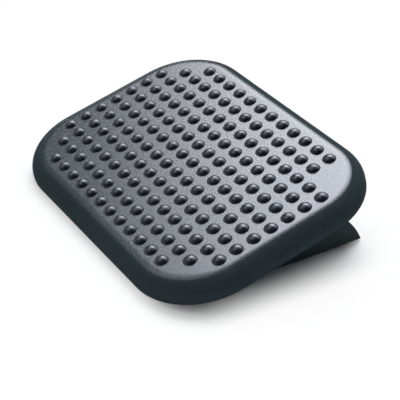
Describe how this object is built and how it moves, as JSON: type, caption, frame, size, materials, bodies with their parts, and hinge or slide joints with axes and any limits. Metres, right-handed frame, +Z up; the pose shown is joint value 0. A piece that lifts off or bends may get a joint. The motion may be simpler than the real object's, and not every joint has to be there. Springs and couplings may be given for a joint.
{
  "type": "tilting under desk footrest",
  "caption": "Round-cornered massage-dome footrest deck hinged on a hollow half-moon base, tilting about a cross axis between rubber stops.",
  "frame": {"origin": "middle of the part's outline, on the floor", "axes": "+X along the width to the user's right, +Y to the rear (raised) edge, +Z up"},
  "size_m": [0.4434, 0.3138, 0.1107],
  "materials": {
    "deck_plastic": "satin charcoal moulding, fine grain, smoother domes",
    "base_plastic": "fine-grained charcoal moulding",
    "bracket_nylon": "glass-filled nylon, black",
    "washer_acetal": "natural acetal",
    "rubber": "matt black rubber",
    "steel": "zinc-plated steel"
  },
  "bodies": {
    "stand": {"base": "base_plastic", "hinge_pin_left": "steel", "hinge_pin_right": "steel", "pin_clip_left": "steel", "pin_clip_right": "steel", "friction_washer_left_inner": "washer_acetal", "friction_washer_left_outer": "washer_acetal", "friction_washer_right_inner": "washer_acetal", "friction_washer_right_outer": "washer_acetal", "tilt_stop_left_front": "rubber", "tilt_stop_left_rear": "rubber", "tilt_stop_right_front": "rubber", "tilt_stop_right_rear": "rubber", "base_foot_left_front": "rubber", "base_foot_left_rear": "rubber", "base_foot_right_front": "rubber", "base_foot_right_rear": "rubber"},
    "deck": {"platform": "deck_plastic", "hinge_bracket_left": "bracket_nylon", "hinge_bracket_right": "bracket_nylon", "hinge_sleeve_left": "steel", "hinge_sleeve_right": "steel", "bracket_screw_left_inner": "steel", "bracket_screw_left_outer": "steel", "bracket_screw_right_inner": "steel", "bracket_screw_right_outer": "steel", "front_bumper_left": "rubber", "front_bumper_right": "rubber"}
  },
  "joints": [
    {"name": "deck_tilt", "type": "hinge", "parent": "stand", "child": "deck", "pos_m": [0, 0.03723, 0.05573], "axis": [1, 0, 0], "range_deg": [-31, 0]}
  ]
}
